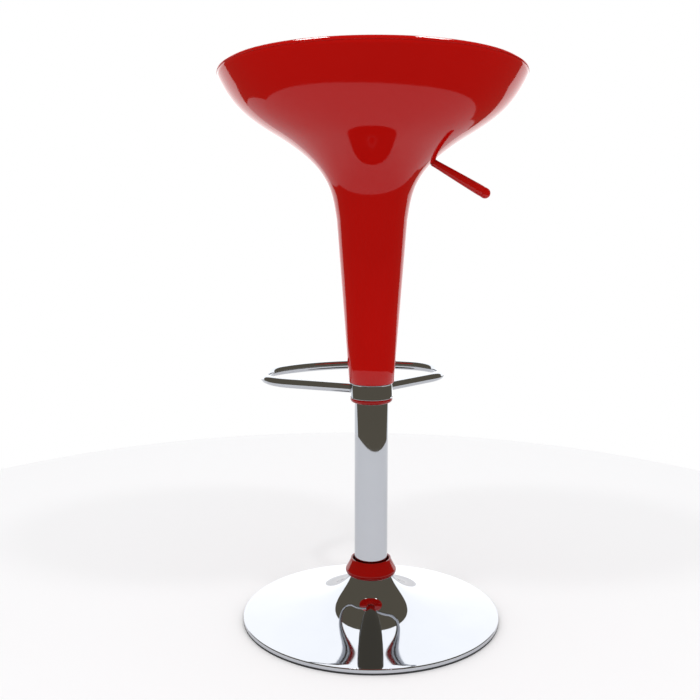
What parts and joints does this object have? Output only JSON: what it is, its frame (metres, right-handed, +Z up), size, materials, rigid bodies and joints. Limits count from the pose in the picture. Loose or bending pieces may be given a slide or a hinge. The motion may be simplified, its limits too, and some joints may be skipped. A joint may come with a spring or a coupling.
{
  "type": "adjustable swivel stool",
  "caption": "Bucket bar stool on a gas-lift column with a trumpet base, a side lever and a tube footrest, shown raised.",
  "frame": {"origin": "on the floor, under the axis of the column", "axes": "+Z up along the column, the sitter faces -Y, the lever is on the sitter's right at -X"},
  "size_m": [0.4388, 0.4162, 0.8362],
  "materials": {
    "red_shell": "high gloss",
    "chrome_plate": "mirror plated",
    "zinc_steel": "zinc plated",
    "black_rubber": "matte",
    "black_nylon": "satin",
    "black_paint": "semi-gloss"
  },
  "bodies": {
    "base": {"base_cover": "chrome_plate", "floor_ring": "black_rubber", "base_plate": "black_paint", "base_hub": "black_paint", "base_screws": "zinc_steel", "base_collar": "red_shell", "column_tube": "chrome_plate", "column_floor": "zinc_steel", "column_bush": "black_nylon", "bearing_lower_race": "zinc_steel", "ball_cage": "black_nylon", "bearing_balls": "chrome_plate"},
    "gas_rod": {"piston_rod": "chrome_plate", "piston": "black_nylon", "bearing_upper_race": "zinc_steel", "rod_buffer": "black_rubber", "rod_washer": "zinc_steel", "rod_clip": "zinc_steel"},
    "seat": {"gas_cylinder": "black_paint", "cylinder_gland": "black_nylon", "taper_socket": "black_paint", "lever_bracket": "black_paint", "seat_plate": "black_paint", "plate_screws": "zinc_steel", "pivot_pin": "zinc_steel", "seat_shell": "red_shell", "seat_bowl": "red_shell", "end_bush": "red_shell", "footrest_ring": "chrome_plate", "footrest_loop": "chrome_plate", "ring_screw": "zinc_steel"},
    "lever": {"lever_rod": "zinc_steel", "lever_grip": "red_shell"},
    "release_button": {"release_pin": "zinc_steel"}
  },
  "joints": [
    {"name": "seat_swivel", "type": "hinge", "parent": "base", "child": "gas_rod", "pos_m": [0, 0, 0.03], "axis": [0, 0, 1], "continuous": true},
    {"name": "seat_lift", "type": "slide", "parent": "gas_rod", "child": "seat", "axis": [0, 0, 1], "range_m": [-0.22, 0]},
    {"name": "lever_pull", "type": "hinge", "parent": "seat", "child": "lever", "pos_m": [-0.045, 0, 0.6913], "axis": [0, 1, 0], "range_deg": [0, 6], "stiffness_Nm_per_rad": 3, "springref_deg": -2.86},
    {"name": "release_press", "type": "slide", "parent": "seat", "child": "release_button", "axis": [0, 0, -1], "range_m": [0, 0.0053], "stiffness_N_per_m": 200, "springref_m": -0.0005}
  ],
  "couplings": [
    {"joint": "release_press", "follows": "lever_pull", "m_per_rad": 0.049}
  ]
}
